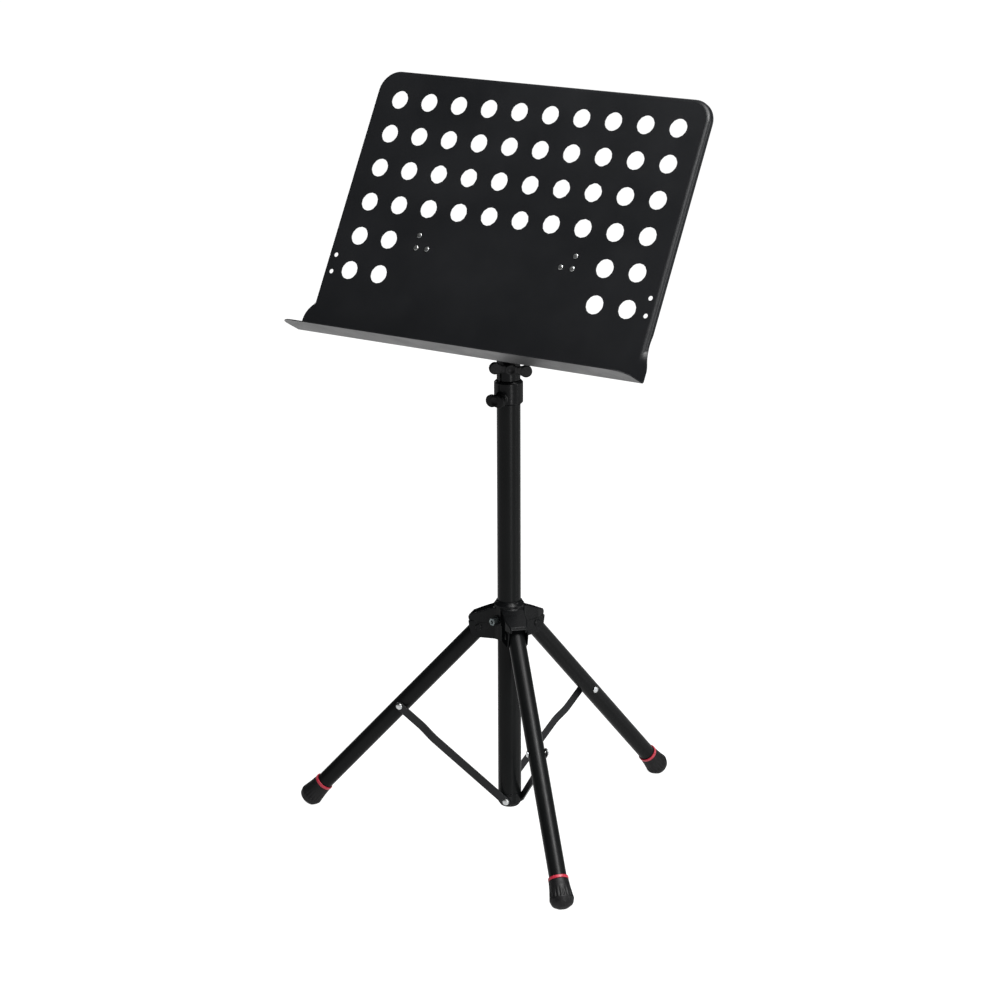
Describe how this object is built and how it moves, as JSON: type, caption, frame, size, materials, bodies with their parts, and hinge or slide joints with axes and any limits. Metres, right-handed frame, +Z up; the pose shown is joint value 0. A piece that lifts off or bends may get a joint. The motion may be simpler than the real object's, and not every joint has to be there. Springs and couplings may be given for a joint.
{
  "type": "music stand",
  "caption": "Orchestra music stand: perforated metal desk with a ledge, tilting and swivelling on a telescopic post with a folding strutted tripod.",
  "frame": {"origin": "Centre of the bounding box, on the floor under the stand. The post stands beside it, as the desk and the three legs are not centred on the post.", "axes": "+Z is up along the post. The desk is 0.51 m wide along X, and the reader stands on the -Y side. The desk leans back 29 degrees from upright towards +Y."},
  "size_m": [0.531, 0.4802, 0.9573],
  "materials": {
    "desk_powder_coat": "satin black powder coat with a fine texture",
    "tube_powder_coat": "semi-gloss black powder coat",
    "moulded_black": "glossy moulded black nylon",
    "knob_black": "matt moulded black plastic",
    "rubber_black": "matt black rubber with moulded ribs",
    "ring_red": "satin crimson plastic ring",
    "dark_steel": "dark zinc-plated steel",
    "zinc_steel": "bright zinc-plated steel"
  },
  "bodies": {
    "post": {"main_tube": "tube_powder_coat", "post_end_plug": "moulded_black", "height_collar": "moulded_black"},
    "height_clamp": {"height_screw": "zinc_steel", "height_knob": "knob_black"},
    "hub": {"hub": "moulded_black", "hub_screw": "dark_steel", "leg_pivot_1": "moulded_black", "leg_pivot_2": "moulded_black", "leg_pivot_3": "moulded_black"},
    "mast": {"inner_tube": "tube_powder_coat", "inner_glide": "moulded_black", "top_socket": "moulded_black"},
    "socket_clamp": {"socket_screw": "zinc_steel", "socket_knob": "knob_black"},
    "head": {"desk_shaft": "tube_powder_coat", "tilt_body": "moulded_black", "tilt_bolt": "zinc_steel", "tilt_nut": "zinc_steel"},
    "desk": {"desk_panel": "desk_powder_coat", "tilt_rod": "zinc_steel", "bracket_left": "desk_powder_coat", "bracket_right": "desk_powder_coat", "rod_nut_left": "zinc_steel", "rod_nut_right": "zinc_steel", "desk_rivet_left_1": "zinc_steel", "desk_rivet_left_2": "zinc_steel", "desk_rivet_left_3": "zinc_steel", "desk_rivet_right_1": "zinc_steel", "desk_rivet_right_2": "zinc_steel", "desk_rivet_right_3": "zinc_steel"},
    "leg_1": {"leg_tube_1": "tube_powder_coat", "leg_plug_1": "moulded_black", "leg_ring_1": "ring_red", "foot_1": "rubber_black", "brace_rivet_1": "zinc_steel"},
    "brace_1": {"brace_1": "desk_powder_coat", "brace_pin_1": "zinc_steel"},
    "leg_2": {"leg_tube_2": "tube_powder_coat", "leg_plug_2": "moulded_black", "leg_ring_2": "ring_red", "foot_2": "rubber_black", "brace_rivet_2": "zinc_steel"},
    "brace_2": {"brace_2": "desk_powder_coat", "brace_pin_2": "zinc_steel"},
    "leg_3": {"leg_tube_3": "tube_powder_coat", "leg_plug_3": "moulded_black", "leg_ring_3": "ring_red", "foot_3": "rubber_black", "brace_rivet_3": "zinc_steel"},
    "brace_3": {"brace_3": "desk_powder_coat", "brace_pin_3": "zinc_steel"}
  },
  "joints": [
    {"name": "fold_slide", "type": "slide", "parent": "post", "child": "hub", "axis": [0, 0, 1], "range_m": [0, 0.1088]},
    {"name": "height_slide", "type": "slide", "parent": "post", "child": "mast", "axis": [0, 0, 1], "range_m": [0, 0.43]},
    {"name": "height_knob_turn", "type": "hinge", "parent": "post", "child": "height_clamp", "pos_m": [0.00912, -0.06741, 0.575], "axis": [0, -1, 0], "continuous": true},
    {"name": "socket_knob_turn", "type": "hinge", "parent": "mast", "child": "socket_clamp", "pos_m": [0.02573, -0.06142, 0.6166], "axis": [0.6388, -0.7694, 0], "continuous": true},
    {"name": "desk_swivel", "type": "hinge", "parent": "mast", "child": "head", "pos_m": [0.00912, -0.04141, 0.66], "axis": [0, 0, 1], "continuous": true},
    {"name": "desk_tilt", "type": "hinge", "parent": "head", "child": "desk", "pos_m": [0.00912, -0.04141, 0.747], "axis": [1, 0, 0], "range_deg": [-51, 19]},
    {"name": "leg_1_hinge", "type": "hinge", "parent": "hub", "child": "leg_1", "pos_m": [0.01694, -0.00525, 0.272], "axis": [-0.9774, 0.2113, 0], "range_deg": [0, 42.5]},
    {"name": "brace_1_hinge", "type": "hinge", "parent": "leg_1", "child": "brace_1", "pos_m": [0.03988, 0.10086, 0.15311], "axis": [-0.9774, 0.2113, 0], "range_deg": [-82.7, 0]},
    {"name": "leg_2_hinge", "type": "hinge", "parent": "hub", "child": "leg_2", "pos_m": [-0.02611, -0.05272, 0.272], "axis": [0.3057, -0.9521, 0], "range_deg": [0, 42.5]},
    {"name": "brace_2_hinge", "type": "hinge", "parent": "leg_2", "child": "brace_2", "pos_m": [-0.12947, -0.08591, 0.15311], "axis": [0.3057, -0.9521, 0], "range_deg": [-82.7, 0]},
    {"name": "leg_3_hinge", "type": "hinge", "parent": "hub", "child": "leg_3", "pos_m": [0.03653, -0.06627, 0.272], "axis": [0.6717, 0.7408, 0], "range_deg": [0, 42.5]},
    {"name": "brace_3_hinge", "type": "hinge", "parent": "leg_3", "child": "brace_3", "pos_m": [0.11696, -0.13919, 0.15311], "axis": [0.6717, 0.7408, 0], "range_deg": [-82.7, 0]}
  ],
  "couplings": [
    {"joint": "leg_1_hinge", "follows": "fold_slide", "rad_per_m": 6.8017},
    {"joint": "brace_1_hinge", "follows": "fold_slide", "rad_per_m": -13.244},
    {"joint": "leg_2_hinge", "follows": "fold_slide", "rad_per_m": 6.8017},
    {"joint": "brace_2_hinge", "follows": "fold_slide", "rad_per_m": -13.244},
    {"joint": "leg_3_hinge", "follows": "fold_slide", "rad_per_m": 6.8017},
    {"joint": "brace_3_hinge", "follows": "fold_slide", "rad_per_m": -13.244}
  ]
}
